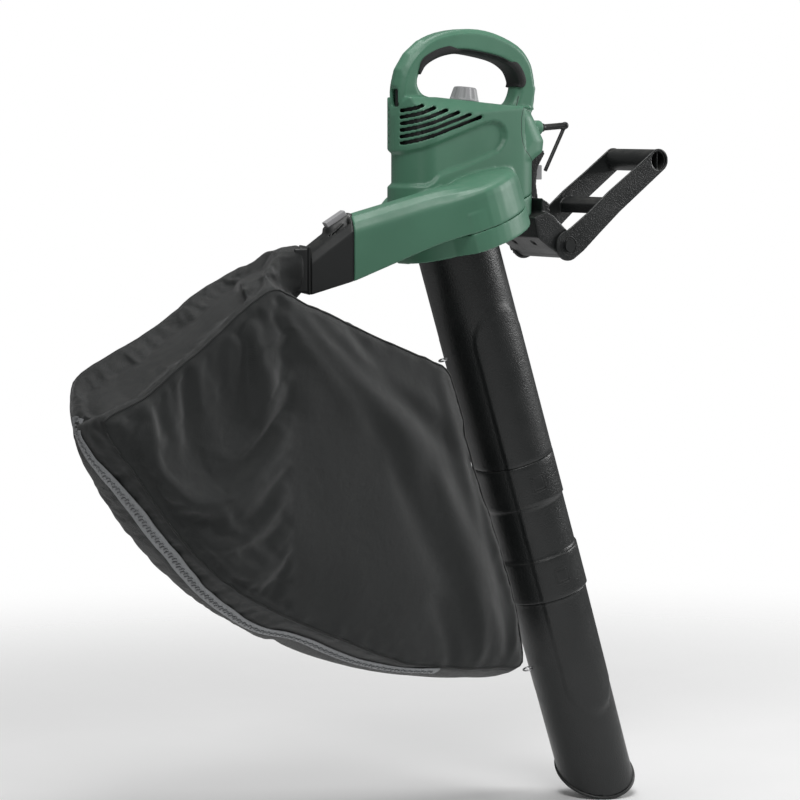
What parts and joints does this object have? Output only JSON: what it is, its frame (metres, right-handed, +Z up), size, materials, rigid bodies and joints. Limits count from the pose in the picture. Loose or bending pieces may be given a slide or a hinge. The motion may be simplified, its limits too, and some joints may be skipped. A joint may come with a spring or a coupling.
{
  "type": "leaf vacuum mulcher",
  "caption": "Corded leaf vacuum and mulcher: loop-handled motor housing, jointed suction tube with oblique nozzle, hinged second handle and side bag.",
  "frame": {"origin": "middle of the main grip, on the machine's centre plane", "axes": "+X forward towards the second handle, +Z up, -Y the side with the long lip of the nozzle"},
  "size_m": [1.0238, 0.2262, 1.1916],
  "materials": {
    "green_plastic": "satin moulded",
    "black_plastic": "fine grained",
    "pale_plastic": "satin",
    "soft_grip": "leather grain",
    "bag_cloth": "woven polyester",
    "steel": "plain",
    "copper": "enamelled winding",
    "carbon": "pressed carbon",
    "board": "solder mask"
  },
  "bodies": {
    "machine": {"housing_right": "green_plastic", "housing_left": "green_plastic", "front_cover": "green_plastic", "intake_cover": "green_plastic", "grip_insert": "soft_grip", "tube_gasket": "soft_grip", "adapter_seal": "soft_grip", "housing_screws": "steel", "cover_screws": "steel", "strap_pin": "steel", "plate_screws": "steel", "lower_bearing": "steel", "upper_bearing": "steel", "stator_core": "steel", "brush_springs": "steel", "bracket_screws": "steel", "tube_button_spring": "steel", "aux_pivot_bolt": "steel", "pivot_washers": "steel", "bag_clips": "steel", "bag_button_spring": "steel", "dial_switch": "black_plastic", "fan_plate": "black_plastic", "bearing_bracket": "black_plastic", "brush_holders": "black_plastic", "interlock_switch": "black_plastic", "front_bracket": "black_plastic", "cord_hook": "black_plastic", "cord_inlet": "black_plastic", "aux_pivot_nut": "black_plastic", "upper_tube": "black_plastic", "middle_tube": "black_plastic", "lower_tube": "black_plastic", "bag_adapter": "black_plastic", "bag_neck_ring": "black_plastic", "control_board": "board", "field_coils": "copper", "carbon_brushes": "carbon", "bag": "bag_cloth"},
    "dial": {"speed_dial": "pale_plastic", "dial_shaft": "steel"},
    "rotor": {"motor_shaft": "steel", "armature_core": "steel", "armature_coils": "copper", "commutator": "copper", "cooling_fan": "black_plastic", "impeller": "black_plastic", "shredder_blade": "steel", "impeller_nut": "steel"},
    "aux_handle": {"aux_frame": "black_plastic", "aux_grip": "soft_grip"},
    "tube_button": {"tube_button": "pale_plastic"},
    "bag_button": {"bag_button": "pale_plastic"}
  },
  "joints": [
    {"name": "dial_turn", "type": "hinge", "parent": "machine", "child": "dial", "pos_m": [0.002, 0, -0.09], "axis": [0.1045, 0, 0.9945], "range_deg": [0, 270]},
    {"name": "rotor_spin", "type": "hinge", "parent": "machine", "child": "rotor", "pos_m": [-0.0224, 0, -0.2722], "axis": [-0.309, 0, 0.9511], "continuous": true},
    {"name": "aux_handle_turn", "type": "hinge", "parent": "machine", "child": "aux_handle", "pos_m": [0.1575, 0, -0.309], "axis": [0, -1, 0], "range_deg": [-60, 30]},
    {"name": "tube_button_press", "type": "slide", "parent": "machine", "child": "tube_button", "axis": [-1, 0, 0], "range_m": [0, 0.004], "stiffness_N_per_m": 800, "springref_m": -0.001, "deforming": ["tube_button_spring"]},
    {"name": "bag_button_press", "type": "slide", "parent": "machine", "child": "bag_button", "axis": [0.5088, -0.1943, -0.8387], "range_m": [0, 0.004], "stiffness_N_per_m": 800, "springref_m": -0.001, "deforming": ["bag_button_spring"]}
  ]
}
